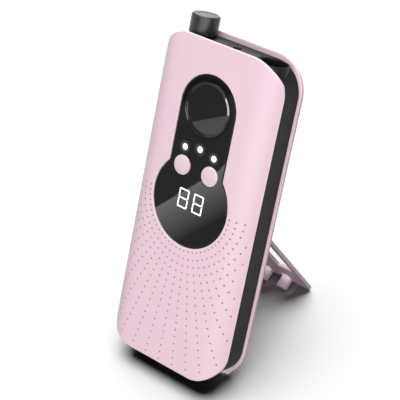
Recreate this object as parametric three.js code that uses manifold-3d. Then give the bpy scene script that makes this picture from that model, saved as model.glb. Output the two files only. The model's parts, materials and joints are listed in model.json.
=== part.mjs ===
// Portable nail drill power unit: a slim arched housing that leans back on a fold-out kickstand.
// Units are millimetres, +Z is up and the front of the unit looks towards -Y. The origin is the
// centre of the base of the bounding box, on the surface that the unit stands on.
//
// The housing is drawn upright in its own frame and then leaned back: x runs to the viewer's
// right, y runs to the back with 0 at the rim of the front shell, and z runs up the housing with
// 0 at the bottom edge of the front shell.
import * as THREE from "three";
import { mergeVertices } from "three/addons/utils/BufferGeometryUtils.js";
import Module from "manifold-3d";

const wasm = await Module();
wasm.setup();

// ---- driving dimensions ----

const GAP = 0.3; // assembly gap between neighbouring pieces
const ARC = 6; // segments in a quarter turn of a housing corner
const ROUND = 32; // facets of a turned piece that another piece runs on

// Front shell: an arched sheet cut to a rounded rectangle.
const WIDTH = 61.8;
const HEIGHT = 140;
const CORNER = 14.5;
const CROWN = 6.1; // height of the arch in front of the rim
const FLAT = 18; // half width of the flat middle of the arch
const FLANK_BEND = 2.4; // the two powers that shape the arch's flank
const FLANK_FALL = 0.85;
const WALL = 1.4;

// Middle frame: the band between the front shell and the back cover.
const FRAME_INSET = 0.6; // at the sides
const FRAME_END_INSET = 1.6; // at the top and the bottom
const FRAME_CORNER = 13.2;
const FRAME_WALL = 1.5;
const FRAME_BACK = 10.25;
const FRAME_TOP = HEIGHT - FRAME_END_INSET;

// Back cover: a shallow tray a little larger than the shell, with a rounded back edge.
const COVER_OVERHANG = 0.45;
const COVER_FRONT = 10.55;
const COVER_BACK = 14;
const COVER_ROUND = 3;
const COVER_WALL = 1.6;
const COVER_RIM = 2.4; // width of the rim round the cover's pocket
const COVER_INSIDE = COVER_BACK - COVER_WALL + 0.2; // how deep solids inside reach into its wall

// Keyhole panel: a small round head over a large round base, with filleted shoulders.
const HEAD_Z = 112.9;
const HEAD_RADIUS = 14.2;
const BASE_Z = 73.4;
const BASE_RADIUS = 19.5;
const SHOULDER_FILLET = 1.8;
const PANEL_FRONT = -CROWN + 0.1;
const PANEL_BACK = -4.4;
const LENS_RADIUS = 11.3;
const LENS_BACK = -5.25;
const CUT = [-7, -3]; // depths of a cut right through the panel

// Controls on the panel.
const BUTTON_RADIUS = 4.15;
const BUTTON_X = 7.3;
const BUTTON_Z = 86.9;
const BUTTON_BACK = -3.35;
const LED_RADIUS = 1.2;
const LED_X = 7.65;
const LED_Z = 94.65;
const LED_MIDDLE_Z = 96;
const LED_BACK = -1.5;
const DIGIT_WIDTH = 5.15;
const DIGIT_HEIGHT = 8.2;
const DIGIT_PITCH = 7.75;
const DIGIT_STROKE = 0.85;
const DISPLAY_X = 0.45;
const DISPLAY_Z = 73.6;
const DISPLAY_HALF = 7.8;
const DISPLAY_RISE = 6.2; // half height

// Circuit boards and battery.
const BOARD_FRONT = -1.2;
const BOARD_BACK = 0;
const BOARD_BOTTOM = 66;
const BOARD_TOP = 122;
const BATTERY_Z = [17.5, 62];
const BATTERY_HALF = 23.8;
const BATTERY_DEPTH = [1, 8.8];
const CHARGE_BOARD_HALF = 12;
const PORT_HALF = 4.45; // charging port: half width, half height and skin
const PORT_RISE = 1.6;
const PORT_SKIN = 0.3;
const PORT_Y = 2;
const LEAD_RADIUS = 0.8;

// Top of the unit: speed knob, handpiece jack and handpiece holder.
const KNOB_X = -17.3;
const KNOB_Y = 4;
const KNOB_RADIUS = 6;
const KNOB_TOP = 146.9;
const KNOB_BOTTOM = 138.8;
const SHAFT_RADIUS = 3;
const BUSHING_RADIUS = 3.9;
const BUSHING_TOP = 141.4;
const POT_HALF = 4.2;
const POT_Z = [127, 135.6];
const NUT_RADIUS = 5;
const NUT_HEIGHT = 1.6;
const JACK_X = 1.75;
const JACK_Y = 3;
const JACK_BORE = 1.75;
const JACK_HALF = 3.2;
const HOLDER_X = 20.3;
const HOLDER_Y = 2.5;
const HOLDER_BORE = 6.2;
const HOLDER_RADIUS = 6.9;
const HOLDER_BOTTOM = 101;
const HOLDER_TOP = 138.2;
const HOLDER_FLOOR = 1.5;
const TOP_CUT = [130, HEIGHT]; // heights of a cut right through the top of the frame

// Kickstand: a plate hinged across the back cover, with three short prongs near its foot.
const HINGE_Y = 12.5;
const HINGE_Z = 67.5;
const STAND_OPEN = THREE.MathUtils.degToRad(53.2);
const STAND_HALF = 23;
const STAND_LENGTH = 66.5;
const STAND_CORNER = 2;
const SLOT_X = 16;
const SLOT_HALF = 4;
const SLOT_Z = [-48.5, -12]; // measured from the hinge axis
const STAND_INNER = -0.05; // faces of the plate, measured from the hinge axis
const STAND_OUTER = 1.45;
const PRONG_PITCH = 11;
const PRONG_WIDTH = 4.8;
const PRONG_SPAN = [62, 64]; // distances from the hinge axis
const PRONG_TIP = -5.4;
const PRONG_NOTCH = 3.4; // height of the opening above each prong
const PIN_RADIUS = 0.75;
const PIN_ROOM = 0.07;
const HEEL_RADIUS = 2.6; // reach of the heel that stops the stand
const HEEL_HALF = 3.6;
const RECESS_FLOOR = 11.25;
const TUB_FRONT = 9.6;
const TUB_HALF = 25.4;
const TUB_TOP = 72;
const FOOT_PAD_TOP = 8;
const STAND_ROOM = 0.35; // space around the folded stand
const NAIL_NOTCH_HALF = 6.5;

// Screws: shell, frame and cover are clamped by four.
const SCREW_X = 26.2;
const SCREW_ROWS = [14, 92];
const SCREW_HOLE = 1.15;
const POST_RADIUS = 2.2;
const POST_BACK = 4;
const TAB_RADIUS = 2.4;
const TAB_DEPTH = [4.3, 5.8];
const BOSS_FRONT = 6.1;
const HEAD_SINK = [2, 11.6]; // radius and front of the countersink

// ---- materials ----

function finish(color, roughness, metalness = 0) {
  return new THREE.MeshStandardMaterial({ color, roughness, metalness });
}

const PINK = finish(0xecccd9, 0.38);
const MAUVE = finish(0xcdb4c2, 0.5);
const BLACK = finish(0x303231, 0.4);
const GLOSS_BLACK = finish(0x141516, 0.08);
const LIGHT = finish(0xffffff, 0.3);
const BOARD_GREEN = finish(0x1f5a3a, 0.5);
const STEEL = finish(0xb9bbbd, 0.3, 1);
const FOIL = finish(0xa9adb3, 0.35, 0.8);
const LEAD_RED = finish(0xa8201c, 0.5);

// ---- solids ----

// A closed three.js geometry as a solid that can be joined and cut.
function solid(geometry) {
  const bare = geometry.clone();
  bare.deleteAttribute("normal");
  bare.deleteAttribute("uv");
  const merged = mergeVertices(bare, 1e-4);
  return new wasm.Manifold(
    new wasm.Mesh({
      numProp: 3,
      vertProperties: merged.attributes.position.array,
      triVerts: new Uint32Array(merged.index.array),
    }),
  );
}

// An outline in x and y, extruded upwards.
function column(shape, bottom, top) {
  const options = { depth: top - bottom, bevelEnabled: false, curveSegments: ARC };
  return solid(new THREE.ExtrudeGeometry(shape, options).translate(0, 0, bottom));
}

// An outline in x and z, extruded from front to back.
function slab(shape, front, back) {
  const options = { depth: back - front, bevelEnabled: false, curveSegments: ARC };
  const geometry = new THREE.ExtrudeGeometry(shape, options);
  return solid(geometry.rotateX(Math.PI / 2).translate(0, back, 0));
}

// An outline in y and z, extruded across the unit, evenly about x = 0.
function crossbar(shape, half) {
  const options = { depth: 2 * half, bevelEnabled: false, curveSegments: ARC };
  const turn = new THREE.Matrix4().makeBasis(
    new THREE.Vector3(0, 1, 0),
    new THREE.Vector3(0, 0, 1),
    new THREE.Vector3(1, 0, 0),
  );
  const geometry = new THREE.ExtrudeGeometry(shape, options).translate(0, 0, -half);
  return solid(geometry.applyMatrix4(turn));
}

function block([x0, x1], [y0, y1], [z0, z1]) {
  const geometry = new THREE.BoxGeometry(x1 - x0, y1 - y0, z1 - z0);
  return solid(geometry.translate((x0 + x1) / 2, (y0 + y1) / 2, (z0 + z1) / 2));
}

function rodUp(radius, x, y, [bottom, top], facets = 20) {
  const geometry = new THREE.CylinderGeometry(radius, radius, top - bottom, facets);
  return solid(geometry.rotateX(Math.PI / 2).translate(x, y, (bottom + top) / 2));
}

function rodBack(radius, x, z, [front, back], facets = 12) {
  const geometry = new THREE.CylinderGeometry(radius, radius, back - front, facets);
  return solid(geometry.translate(x, (front + back) / 2, z));
}

function rodAcross(radius, half, facets = 16) {
  const geometry = new THREE.CylinderGeometry(radius, radius, 2 * half, facets);
  return solid(geometry.rotateZ(Math.PI / 2));
}

// A turned piece: radius and height pairs, closed on the axis.
function turned(profile, facets = ROUND) {
  const points = profile.map(([radius, height]) => new THREE.Vector2(radius, height));
  return solid(new THREE.LatheGeometry(points, facets).rotateX(Math.PI / 2));
}

// Rings of equal length joined by quads, with a fan over each end.
function loft(rings) {
  const count = rings[0].length;
  const points = rings.flat();
  const index = [];
  for (let r = 0; r + 1 < rings.length; r++) {
    for (let i = 0; i < count; i++) {
      const a = r * count + i;
      const b = r * count + ((i + 1) % count);
      index.push(a, b + count, b, a, a + count, b + count);
    }
  }
  const last = (rings.length - 1) * count;
  for (let i = 1; i + 1 < count; i++) {
    index.push(0, i, i + 1, last, last + i + 1, last + i);
  }
  return solid(new THREE.BufferGeometry().setFromPoints(points).setIndex(index));
}

function meshOf(name, body, material) {
  const { vertProperties, triVerts } = body.getMesh();
  const geometry = new THREE.BufferGeometry();
  geometry.setAttribute("position", new THREE.BufferAttribute(vertProperties, 3));
  geometry.setIndex(new THREE.BufferAttribute(triVerts, 1));
  geometry.computeVertexNormals();
  const mesh = new THREE.Mesh(geometry, material);
  mesh.name = name;
  return mesh;
}

// ---- outlines ----

function roundedRect(half, bottom, top, radius) {
  const quarter = Math.PI / 2;
  const shape = new THREE.Shape();
  shape.absarc(half - radius, top - radius, radius, 0, quarter);
  shape.absarc(radius - half, top - radius, radius, quarter, 2 * quarter);
  shape.absarc(radius - half, bottom + radius, radius, 2 * quarter, 3 * quarter);
  shape.absarc(half - radius, bottom + radius, radius, 3 * quarter, 4 * quarter);
  return shape;
}

// The cross-section of the arch, moved inwards by an inset and closed at a depth behind the rim.
function archShape(inset, back) {
  const half = WIDTH / 2 - inset;
  const rise = CROWN - inset;
  const steps = ARC + 2;
  const right = [new THREE.Vector2(half, back)];
  for (let k = 0; k <= steps; k++) {
    const out = Math.cos((k / steps) * (Math.PI / 2));
    const depth = rise * (1 - out ** FLANK_BEND) ** FLANK_FALL;
    right.push(new THREE.Vector2(FLAT + (half - FLAT) * out, -depth));
  }
  const left = right.map((point) => new THREE.Vector2(-point.x, point.y)).reverse();
  return new THREE.Shape([...right, ...left]);
}

// The keyhole outline, grown outwards by an offset.
function keyhole(offset) {
  const side = HEAD_RADIUS + offset;
  const filletX = HEAD_RADIUS + SHOULDER_FILLET;
  const rise = Math.sqrt((BASE_RADIUS + SHOULDER_FILLET) ** 2 - filletX ** 2);
  const filletZ = BASE_Z + rise;
  const tilt = Math.atan2(rise, filletX);
  const fillet = SHOULDER_FILLET - offset;
  const shape = new THREE.Shape();
  shape.absarc(0, HEAD_Z, side, 0, Math.PI / 2);
  shape.absarc(0, HEAD_Z, side, Math.PI / 2, Math.PI);
  shape.absarc(-filletX, filletZ, fillet, 0, -tilt, true);
  for (let part = 0; part < 4; part++) {
    const sweep = (Math.PI + 2 * tilt) / 4;
    const start = Math.PI - tilt + part * sweep;
    shape.absarc(0, BASE_Z, BASE_RADIUS + offset, start, start + sweep);
  }
  shape.absarc(filletX, filletZ, fillet, Math.PI + tilt, Math.PI, true);
  return shape;
}

function frameOutline(inset) {
  return roundedRect(
    WIDTH / 2 - FRAME_INSET - inset,
    FRAME_END_INSET + inset,
    FRAME_TOP - inset,
    FRAME_CORNER - inset,
  );
}

function coverRing(inset, y) {
  const shape = roundedRect(
    WIDTH / 2 + COVER_OVERHANG - inset,
    inset - COVER_OVERHANG,
    HEIGHT + COVER_OVERHANG - inset,
    CORNER + COVER_OVERHANG - inset,
  );
  return shape.getPoints(ARC).map((point) => new THREE.Vector3(point.x, y, point.y));
}

function atScrews(make) {
  const places = SCREW_ROWS.flatMap((z) => [-SCREW_X, SCREW_X].map((x) => [x, z]));
  return places.map(([x, z]) => make(x, z));
}

// ---- housing ----

function frontShell() {
  const outline = roundedRect(WIDTH / 2, 0, HEIGHT, CORNER);
  const arch = column(archShape(0, 0), 0, HEIGHT);
  const hollow = column(archShape(WALL, 1), -1, HEIGHT + 1);
  let shell = arch.subtract(hollow).intersect(slab(outline, -CROWN - 1, 1));
  shell = shell.subtract(slab(keyhole(GAP / 2), -CROWN - 1, 0));
  const behindSkin = column(archShape(WALL / 2, POST_BACK), 0, HEIGHT);
  for (const post of atScrews((x, z) => rodBack(POST_RADIUS, x, z, [-CROWN, POST_BACK]))) {
    shell = shell.add(post.intersect(behindSkin));
  }
  for (const pilot of atScrews((x, z) => rodBack(SCREW_HOLE, x, z, [-2, POST_BACK + 1]))) {
    shell = shell.subtract(pilot);
  }
  return shell;
}

function middleFrame() {
  const band = slab(frameOutline(0), -CROWN, FRAME_BACK);
  const inside = slab(frameOutline(FRAME_WALL), -CROWN - 1, FRAME_BACK + 1);
  const underArch = column(archShape(WALL + GAP, FRAME_BACK), 0, HEIGHT);
  const behindRim = block([-WIDTH, WIDTH], [GAP, FRAME_BACK], [0, HEIGHT]);
  let frame = band.subtract(inside).intersect(underArch.add(behindRim));
  for (const side of [-1, 1]) {
    for (const z of SCREW_ROWS) {
      const tab = [SCREW_X * side, (WIDTH / 2 - FRAME_INSET - 0.5) * side].sort((a, b) => a - b);
      frame = frame.add(rodBack(TAB_RADIUS, SCREW_X * side, z, TAB_DEPTH));
      frame = frame.add(block(tab, TAB_DEPTH, [z - TAB_RADIUS, z + TAB_RADIUS]));
      frame = frame.subtract(rodBack(SCREW_HOLE, SCREW_X * side, z, [POST_BACK, BOSS_FRONT]));
    }
  }
  frame = frame.subtract(rodUp(BUSHING_RADIUS + GAP / 2, KNOB_X, KNOB_Y, TOP_CUT));
  frame = frame.subtract(rodUp(JACK_BORE + 0.05, JACK_X, JACK_Y, TOP_CUT));
  const holderCut = [HOLDER_BOTTOM, HEIGHT];
  frame = frame.subtract(rodUp(HOLDER_RADIUS + GAP / 2, HOLDER_X, HOLDER_Y, holderCut, ROUND));
  const portRise = PORT_RISE + GAP;
  const portHole = roundedRect(PORT_HALF + GAP, -portRise, portRise, PORT_RISE);
  return frame.subtract(column(portHole, 0, 5).translate([0, PORT_Y, 0]));
}

// The outside of the back cover as a solid, rounded over along its back edge.
function coverForm() {
  const steps = 4;
  const rings = [coverRing(0, COVER_FRONT)];
  for (let k = 0; k <= steps; k++) {
    const angle = (k / steps) * (Math.PI / 2);
    const y = COVER_BACK - COVER_ROUND * (1 - Math.sin(angle));
    rings.push(coverRing(COVER_ROUND * (1 - Math.cos(angle)), y));
  }
  return loft(rings);
}

function backCover() {
  const across = [-TUB_HALF, TUB_HALF];
  const tubOutline = slab(frameOutline(FRAME_WALL + GAP), TUB_FRONT, COVER_INSIDE);
  const tub = block(across, [TUB_FRONT, COVER_INSIDE], [0, TUB_TOP]).intersect(tubOutline);
  const bosses = atScrews((x, z) => rodBack(TAB_RADIUS, x, z, [BOSS_FRONT, COVER_INSIDE]));
  const pocket = slab(
    roundedRect(WIDTH / 2 - COVER_RIM, COVER_RIM, HEIGHT - COVER_RIM, CORNER - COVER_RIM),
    COVER_FRONT - 1,
    COVER_BACK - COVER_WALL,
  );
  const footBlock = block(across, [COVER_FRONT, COVER_INSIDE], [0, FOOT_PAD_TOP]);
  const footPad = footBlock.intersect(coverForm());
  let cover = coverForm().subtract(pocket).add(footPad).add(tub);
  for (const boss of bosses) {
    cover = cover.add(boss);
  }
  const behind = COVER_BACK + 1;
  for (const hole of atScrews((x, z) => rodBack(SCREW_HOLE, x, z, [BOSS_FRONT - 1, behind]))) {
    cover = cover.subtract(hole);
  }
  const [sinkRadius, sinkFront] = HEAD_SINK;
  for (const sink of atScrews((x, z) => rodBack(sinkRadius, x, z, [sinkFront, behind]))) {
    cover = cover.subtract(sink);
  }
  return cover.subtract(standRecess());
}

// The room that the folded stand, its prongs, its barrel and its heel need in the back cover.
function standRecess() {
  const half = STAND_HALF + 0.6;
  const foot = HINGE_Z - STAND_LENGTH - STAND_ROOM;
  const top = HINGE_Z + STAND_OUTER + STAND_ROOM;
  const behind = COVER_BACK + 1;
  const plate = roundedRect(half, foot, top, STAND_CORNER + STAND_ROOM);
  const barrel = [HINGE_Y - STAND_OUTER - GAP, behind];
  let room = slab(plate, RECESS_FLOOR, behind).add(block([-half, half], barrel, [65, top]));
  const heelRoom = HEEL_HALF + 0.4;
  const heelTop = HINGE_Z + HEEL_RADIUS + 0.6;
  room = room.add(block([-heelRoom, heelRoom], [TUB_FRONT + 0.2, behind], [65.4, heelTop]));
  for (const x of [-PRONG_PITCH, 0, PRONG_PITCH]) {
    const span = [x - PRONG_WIDTH / 2 - 0.4, x + PRONG_WIDTH / 2 + 0.4];
    room = room.add(block(span, [TUB_FRONT - 1, RECESS_FLOOR + 1], [3, 6.2]));
  }
  const nailNotch = block([-NAIL_NOTCH_HALF, NAIL_NOTCH_HALF], [COVER_INSIDE, behind], [-1, 1.5]);
  const pinHoles = rodAcross(PIN_RADIUS + PIN_ROOM, TUB_HALF - 0.4);
  return room.add(nailNotch).add(pinHoles.translate([0, HINGE_Y, HINGE_Z]));
}

function coverScrew(x, z) {
  const head = rodBack(1.8, x, z, [11.8, 13.3]);
  const drive = block([x - 0.25, x + 0.25], [12.6, 14], [z - 1.2, z + 1.2]);
  const cross = block([x - 1.2, x + 1.2], [12.6, 14], [z - 0.25, z + 0.25]);
  const shank = rodBack(1, x, z, [-1.6, 12]);
  return head.add(shank).subtract(drive).subtract(cross);
}

// ---- front panel ----

function displayPanel() {
  let panel = slab(keyhole(-GAP), PANEL_FRONT, PANEL_BACK);
  const flange = slab(keyhole(1.2), PANEL_BACK - 0.01, PANEL_BACK + 0.8);
  panel = panel.add(flange.subtract(slab(keyhole(-1.5), PANEL_BACK - 1, PANEL_BACK + 1)));
  panel = panel.subtract(rodBack(LENS_RADIUS + 0.2, 0, HEAD_Z, [CUT[0], -5], ROUND));
  panel = panel.subtract(rodBack(LENS_RADIUS - 1.2, 0, HEAD_Z, CUT, ROUND));
  for (const side of [-1, 1]) {
    panel = panel.subtract(rodBack(BUTTON_RADIUS + 0.2, BUTTON_X * side, BUTTON_Z, CUT, 24));
  }
  for (const [x, z] of [[-LED_X, LED_Z], [0, LED_MIDDLE_Z], [LED_X, LED_Z]]) {
    panel = panel.subtract(rodBack(LED_RADIUS + 0.1, x, z, CUT));
  }
  const across = [DISPLAY_X - DISPLAY_HALF - GAP, DISPLAY_X + DISPLAY_HALF + GAP];
  const upright = [DISPLAY_Z - DISPLAY_RISE - GAP, DISPLAY_Z + DISPLAY_RISE + GAP];
  return panel.subtract(block(across, [-5.3, CUT[1]], upright));
}

// A dished disc in the panel's round head.
function roundLens() {
  return turned([
    [0, 0],
    [LENS_RADIUS, 0],
    [LENS_RADIUS, 0.75],
    [LENS_RADIUS - 0.25, 1],
    [LENS_RADIUS - 1.4, 1],
    [LENS_RADIUS - 2.2, 0.6],
    [0, 0.45],
  ]);
}

function lightPipe() {
  return turned([
    [0, 0],
    [LED_RADIUS, 0],
    [LED_RADIUS, 1.9],
    [LED_RADIUS + 0.5, 1.9],
    [LED_RADIUS + 0.5, 2.6],
    [LED_RADIUS, 2.6],
    [LED_RADIUS, 4.45],
    [LED_RADIUS - 0.3, 4.6],
    [0, 4.65],
  ], 12);
}

// Seven bars round and across a digit, each given by its middle and whether it lies flat.
function digitBars() {
  const x = (DIGIT_WIDTH - DIGIT_STROKE) / 2;
  const z = (DIGIT_HEIGHT - DIGIT_STROKE) / 2;
  const level = [-z, 0, z].map((height) => ({ x: 0, z: height, flat: true }));
  const upright = [-x, x].flatMap((side) => [-z / 2, z / 2].map((height) => ({ x: side, z: height })));
  return [...level, ...upright];
}

function digitDisplay() {
  const across = [-DISPLAY_HALF, DISPLAY_HALF];
  let display = block(across, [-4.9, -1.5], [-DISPLAY_RISE, DISPLAY_RISE]);
  for (const side of [-1, 1]) {
    for (const bar of digitBars()) {
      const halfX = bar.flat ? (DIGIT_WIDTH - DIGIT_STROKE) / 2 - 0.3 : DIGIT_STROKE / 2;
      const halfZ = bar.flat ? DIGIT_STROKE / 2 : (DIGIT_HEIGHT - DIGIT_STROKE) / 4 - 0.3;
      const x = bar.x + (side * DIGIT_PITCH) / 2;
      const raised = block([x - halfX, x + halfX], [-5, -4.8], [bar.z - halfZ, bar.z + halfZ]);
      display = display.add(raised);
    }
  }
  return display;
}

// A push button: a crowned cap in front of a flange that the panel holds back.
function pushButton() {
  return turned([
    [0, 0],
    [BUTTON_RADIUS + 0.7, 0],
    [BUTTON_RADIUS + 0.7, 0.8],
    [BUTTON_RADIUS, 0.8],
    [BUTTON_RADIUS, 2.75],
    [BUTTON_RADIUS - 0.35, 3.05],
    [BUTTON_RADIUS - 2, 3.2],
    [0, 3.25],
  ], 24);
}

function buttonSwitch(x) {
  const body = block([x - 2.2, x + 2.2], [-2.6, BOARD_FRONT - GAP], [BUTTON_Z - 2.2, BUTTON_Z + 2.2]);
  return body.add(rodBack(1.2, x, BUTTON_Z, [-2.8, -2]));
}

// ---- electronics ----

function controlBoard() {
  const narrow = 12.2;
  const wide = 23.5;
  const shape = new THREE.Shape();
  shape.moveTo(wide, BOARD_BOTTOM);
  shape.lineTo(wide, 86);
  shape.lineTo(narrow, 97);
  shape.lineTo(narrow, BOARD_TOP);
  shape.lineTo(-narrow, BOARD_TOP);
  shape.lineTo(-narrow, 97);
  shape.lineTo(-wide, 86);
  shape.lineTo(-wide, BOARD_BOTTOM);
  return slab(shape, BOARD_FRONT, BOARD_BACK);
}

function usbPort() {
  const outline = (inset) => {
    const rise = PORT_RISE - inset;
    return roundedRect(PORT_HALF - inset, -rise, rise, rise - 0.1);
  };
  const tongue = block([-3.3, 3.3], [-0.35, 0.35], [3, 9]);
  const outside = column(outline(0), 2.2, 9.6);
  const inside = column(outline(PORT_SKIN), 2, 8.6);
  return outside.subtract(inside).add(tongue).translate([0, PORT_Y, 0]);
}

function batteryPack() {
  const [bottom, top] = BATTERY_Z;
  return slab(roundedRect(BATTERY_HALF, bottom, top, 3), ...BATTERY_DEPTH);
}

// A two-core lead drawn as one round cord along a list of points.
function lead(points) {
  const path = new THREE.CatmullRomCurve3(points.map((point) => new THREE.Vector3(...point)));
  const section = new THREE.Shape();
  section.absarc(0, 0, LEAD_RADIUS, 0, 2 * Math.PI);
  const options = { steps: 12, extrudePath: path, curveSegments: ARC / 2 };
  return solid(new THREE.ExtrudeGeometry(section, options));
}

// ---- speed control, jack and holder ----

function speedPot() {
  const body = block([KNOB_X - POT_HALF, KNOB_X + POT_HALF], [-0.6, 9.2], POT_Z);
  const bushing = rodUp(BUSHING_RADIUS, KNOB_X, KNOB_Y, [135, BUSHING_TOP], ROUND);
  const bore = rodUp(SHAFT_RADIUS + 0.06, KNOB_X, KNOB_Y, [133, 142], ROUND);
  return body.add(bushing).subtract(bore);
}

function potNut() {
  const seat = FRAME_TOP + 0.25;
  const hexagon = rodUp(NUT_RADIUS, KNOB_X, KNOB_Y, [seat, seat + NUT_HEIGHT], 6);
  return hexagon.subtract(rodUp(BUSHING_RADIUS + 0.1, KNOB_X, KNOB_Y, [136, 142], ROUND));
}

// Both turned pieces below have their origin on the knob's axis at the knob's bottom edge.
function speedKnob() {
  const height = KNOB_TOP - KNOB_BOTTOM;
  const cap = turned([
    [0, 0],
    [KNOB_RADIUS, 0],
    [KNOB_RADIUS, height - 0.75],
    [KNOB_RADIUS - 0.2, height - 0.3],
    [KNOB_RADIUS - 0.75, height],
    [0, height],
  ]);
  const nutRoom = rodUp(NUT_RADIUS + 0.15, 0, 0, [-1, 2.9], ROUND);
  return cap.subtract(nutRoom).subtract(rodUp(SHAFT_RADIUS + 0.12, 0, 0, [-1, 6.2], ROUND));
}

function potShaft() {
  return rodUp(SHAFT_RADIUS, 0, 0, [133.4 - KNOB_BOTTOM, 5.9], ROUND);
}

function handpieceJack() {
  const upright = [124, FRAME_TOP - FRAME_WALL - GAP];
  const body = block([JACK_X - JACK_HALF, JACK_X + JACK_HALF], [0.3, 5.7], upright);
  return body.subtract(rodUp(JACK_BORE, JACK_X, JACK_Y, [126, HEIGHT], 24));
}

function holderSleeve() {
  const outside = rodUp(HOLDER_RADIUS, 0, 0, [HOLDER_BOTTOM, HOLDER_TOP], ROUND);
  return outside.subtract(rodUp(HOLDER_BORE, 0, 0, [HOLDER_BOTTOM + HOLDER_FLOOR, HEIGHT], ROUND));
}

// ---- kickstand ----

// The stand in its folded place, with the hinge axis as its origin: the plate hangs below it.
function kickstand() {
  const profile = new THREE.Shape();
  profile.moveTo(STAND_INNER, 0);
  profile.lineTo(STAND_INNER, 0.3 - STAND_LENGTH);
  profile.lineTo(STAND_INNER + 0.3, -STAND_LENGTH);
  profile.lineTo(STAND_OUTER - 0.8, -STAND_LENGTH);
  profile.lineTo(STAND_OUTER, 0.8 - STAND_LENGTH);
  profile.lineTo(STAND_OUTER, 0);
  const outline = slab(roundedRect(STAND_HALF, -STAND_LENGTH, STAND_CORNER, STAND_CORNER), -9, 9);
  const coverAround = coverForm().translate([0, -HINGE_Y, -HINGE_Z]);
  let stand = crossbar(profile, STAND_HALF).intersect(outline).intersect(coverAround);
  stand = stand.add(rodAcross(STAND_OUTER, STAND_HALF));
  for (const side of [-1, 1]) {
    const slot = slab(roundedRect(SLOT_HALF, ...SLOT_Z, 1.2), -5, 5);
    stand = stand.subtract(slot.translate([SLOT_X * side, 0, 0]));
  }
  const heel = block([-HEEL_HALF, HEEL_HALF], [-0.7, 0.7], [0, HEEL_RADIUS]);
  stand = stand.add(heel.rotate([90 - THREE.MathUtils.radToDeg(STAND_OPEN), 0, 0]));
  const [near, far] = PRONG_SPAN;
  for (const x of [-PRONG_PITCH, 0, PRONG_PITCH]) {
    const span = [x - PRONG_WIDTH / 2, x + PRONG_WIDTH / 2];
    stand = stand.add(block(span, [PRONG_TIP, STAND_INNER + 0.5], [-far, -near]));
    stand = stand.subtract(block(span, [-3, 3], [-near, PRONG_NOTCH - near]));
  }
  return stand.subtract(rodAcross(PIN_RADIUS + PIN_ROOM, STAND_HALF + 1));
}

// ---- assembly ----

// The unit rests on the rounded lower edge of its back cover and on the foot of the open stand,
// so its lean is the angle of the line that touches both.
function leanAngle() {
  const edgeY = COVER_BACK - COVER_ROUND;
  const edgeZ = COVER_ROUND - COVER_OVERHANG;
  const reach = STAND_LENGTH - 0.3;
  const footY = HINGE_Y + reach * Math.sin(STAND_OPEN) + STAND_INNER * Math.cos(STAND_OPEN);
  const footZ = HINGE_Z - reach * Math.cos(STAND_OPEN) + STAND_INNER * Math.sin(STAND_OPEN);
  const distance = Math.hypot(footY - edgeY, footZ - edgeZ);
  return Math.atan2(footZ - edgeZ, footY - edgeY) + Math.asin(COVER_ROUND / distance);
}

const housing = new THREE.Group();
housing.rotation.x = -leanAngle();

function place(name, body, material, position = [0, 0, 0]) {
  const mesh = meshOf(name, body, material);
  mesh.position.set(...position);
  housing.add(mesh);
  return mesh;
}

// A piece turned about Z in the workshop, placed so that its axis points out of the front.
function placeFacing(name, body, material, [x, y, z]) {
  place(name, body, material, [x, y, z]).rotation.x = Math.PI / 2;
}

place("front_shell", frontShell(), PINK);
place("mid_frame", middleFrame(), BLACK);
place("back_cover", backCover(), PINK);
atScrews(coverScrew).forEach((screw, i) => place(`cover_screw_${i + 1}`, screw, STEEL));

place("display_panel", displayPanel(), GLOSS_BLACK);
placeFacing("round_lens", roundLens(), GLOSS_BLACK, [0, LENS_BACK, HEAD_Z]);
placeFacing("led_left", lightPipe(), LIGHT, [-LED_X, LED_BACK, LED_Z]);
placeFacing("led_middle", lightPipe(), LIGHT, [0, LED_BACK, LED_MIDDLE_Z]);
placeFacing("led_right", lightPipe(), LIGHT, [LED_X, LED_BACK, LED_Z]);
place("digit_display", digitDisplay(), GLOSS_BLACK, [DISPLAY_X, 0, DISPLAY_Z]);
placeFacing("button_left", pushButton(), PINK, [-BUTTON_X, BUTTON_BACK, BUTTON_Z]);
placeFacing("button_right", pushButton(), PINK, [BUTTON_X, BUTTON_BACK, BUTTON_Z]);
place("button_switch_left", buttonSwitch(-BUTTON_X), BLACK);
place("button_switch_right", buttonSwitch(BUTTON_X), BLACK);

place("control_board", controlBoard(), BOARD_GREEN);
const chargeAcross = [-CHARGE_BOARD_HALF, CHARGE_BOARD_HALF];
place("charge_board", block(chargeAcross, [3.9, 4.9], [3.6, 14]), BOARD_GREEN);
place("usb_c_port", usbPort(), STEEL);
place("battery", batteryPack(), FOIL);
place("battery_lead", lead([[6, 4, 62.4], [6, 4, 66], [8, 3, 70], [9, 1.4, 73]]), LEAD_RED);
place("charge_lead", lead([[-14, 2, 8], [-18, 0.2, 12], [-18, -1, 40], [-16, -1.6, 65.4]]), LEAD_RED);

place("speed_pot", speedPot(), BLACK);
place("pot_nut", potNut(), STEEL);
place("pot_shaft", potShaft(), STEEL, [KNOB_X, KNOB_Y, KNOB_BOTTOM]);
place("speed_knob", speedKnob(), BLACK, [KNOB_X, KNOB_Y, KNOB_BOTTOM]);
place("handpiece_jack", handpieceJack(), BLACK);
place("holder_sleeve", holderSleeve(), BLACK, [HOLDER_X, HOLDER_Y, 0]);

place("stand_hinge_pin", rodAcross(PIN_RADIUS, TUB_HALF - 0.7), STEEL, [0, HINGE_Y, HINGE_Z]);
const stand = place("kickstand", kickstand(), MAUVE, [0, HINGE_Y, HINGE_Z]);
stand.rotation.x = STAND_OPEN;

const unit = new THREE.Group();
unit.add(housing);
const extent = new THREE.Box3().setFromObject(unit, true);
const middle = extent.getCenter(new THREE.Vector3());
housing.position.set(-middle.x, -middle.y, -extent.min.z);

export default unit;
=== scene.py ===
import json
import math

import bmesh
import bpy
import numpy as np
from mathutils import Matrix, Vector


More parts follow.
